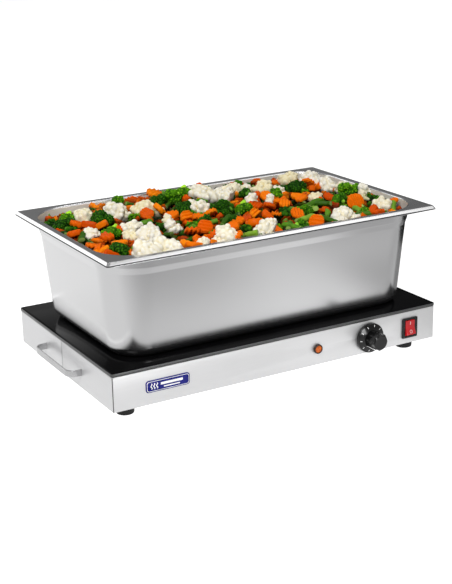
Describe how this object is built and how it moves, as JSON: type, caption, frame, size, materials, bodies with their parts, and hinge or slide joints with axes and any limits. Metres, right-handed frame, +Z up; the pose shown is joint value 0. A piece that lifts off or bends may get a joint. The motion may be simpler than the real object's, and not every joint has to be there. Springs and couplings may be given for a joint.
{
  "type": "electric steam table warmer with gastronorm pan",
  "caption": "Low glass-topped electric warming base with a thermostat knob, rocker switch, pilot lamp and two bail handles, carrying one full-size deep food pan.",
  "frame": {"origin": "on the worktop, centred under the whole footprint, knob, gland and handles included", "axes": "+X to the right along the long front, +Y to the back, +Z up"},
  "size_m": [0.572, 0.376, 0.216],
  "materials": {
    "casing_steel": "satin brushed",
    "pan_steel": "satin, bright",
    "black_glass": "polished, opaque black",
    "seal_silicone": "matt",
    "foot_rubber": "matt",
    "knob_plastic": "satin",
    "black_plastic": "fine matt",
    "red_rocker": "gloss",
    "amber_lens": "clear amber, gloss",
    "white_print": "printed",
    "label_blue": "domed label, gloss",
    "zinc": "zinc plated",
    "aluminium": "mill",
    "element_sheath": "heat-oxidised",
    "ceramic": "glazed",
    "mineral_wool": "fibrous",
    "brass": "bright",
    "copper": "drawn tube",
    "bakelite": "moulded",
    "neon": "clear",
    "lead_brown": "PVC",
    "lead_blue": "PVC",
    "lead_green": "PVC, green and yellow"
  },
  "bodies": {
    "base": {"glass_plate": "black_glass", "glass_seal": "seal_silicone", "front_shell": "casing_steel", "rear_shell": "casing_steel", "seam_strap_left": "casing_steel", "seam_strap_right": "casing_steel", "bottom_plate": "casing_steel", "bottom_screws": "zinc", "foot_front_left": "foot_rubber", "foot_front_right": "foot_rubber", "foot_rear_left": "foot_rubber", "foot_rear_right": "foot_rubber", "foot_screws": "zinc", "foot_washers": "zinc", "foot_nuts": "zinc", "handle_left": "casing_steel", "handle_right": "casing_steel", "heat_spreader": "aluminium", "heating_element": "element_sheath", "element_bushes": "ceramic", "element_pins": "zinc", "element_clamps": "casing_steel", "clamp_studs": "zinc", "insulation_pad": "mineral_wool", "heat_shield": "aluminium", "support_rail_left": "casing_steel", "support_rail_right": "casing_steel", "thermal_cutout": "bakelite", "thermostat_body": "ceramic", "thermostat_terminals": "brass", "thermostat_screws": "zinc", "thermostat_capillary": "copper", "switch_housing": "black_plastic", "switch_terminals": "brass", "pilot_lens": "amber_lens", "pilot_body": "black_plastic", "pilot_nut": "zinc", "pilot_neon": "neon", "name_label": "label_blue", "gland_body": "black_plastic", "gland_dome_nut": "black_plastic", "gland_lock_nut": "black_plastic", "gland_seal": "seal_silicone", "terminal_block": "ceramic", "terminal_screws": "zinc", "earth_stud": "zinc", "leads_live": "lead_brown", "leads_neutral": "lead_blue", "lead_earth": "lead_green"},
    "knob": {"thermostat_shaft": "zinc", "control_knob": "knob_plastic", "dial_marks": "white_print"},
    "rocker": {"switch_rocker": "red_rocker", "rocker_legend": "white_print", "rocker_plunger": "zinc"},
    "contact": {"contact_seesaw": "brass"},
    "pan": {"food_pan": "pan_steel"}
  },
  "joints": [
    {"name": "knob_turn", "type": "hinge", "parent": "base", "child": "knob", "pos_m": [0.145, -0.157, 0.036], "axis": [0, 1, 0], "range_deg": [0, 270]},
    {"name": "rocker_tilt", "type": "hinge", "parent": "base", "child": "rocker", "pos_m": [0.2195, -0.155, 0.036], "axis": [1, 0, 0], "range_deg": [0, 20]},
    {"name": "contact_tilt", "type": "hinge", "parent": "base", "child": "contact", "pos_m": [0.2195, -0.1432, 0.036], "axis": [1, 0, 0], "range_deg": [-16, 0]},
    {"name": "pan_lift", "type": "slide", "parent": "base", "child": "pan", "axis": [0, 0, 1], "range_m": [0, 0.2]}
  ],
  "couplings": [
    {"joint": "contact_tilt", "follows": "rocker_tilt", "ratio": -0.8}
  ]
}
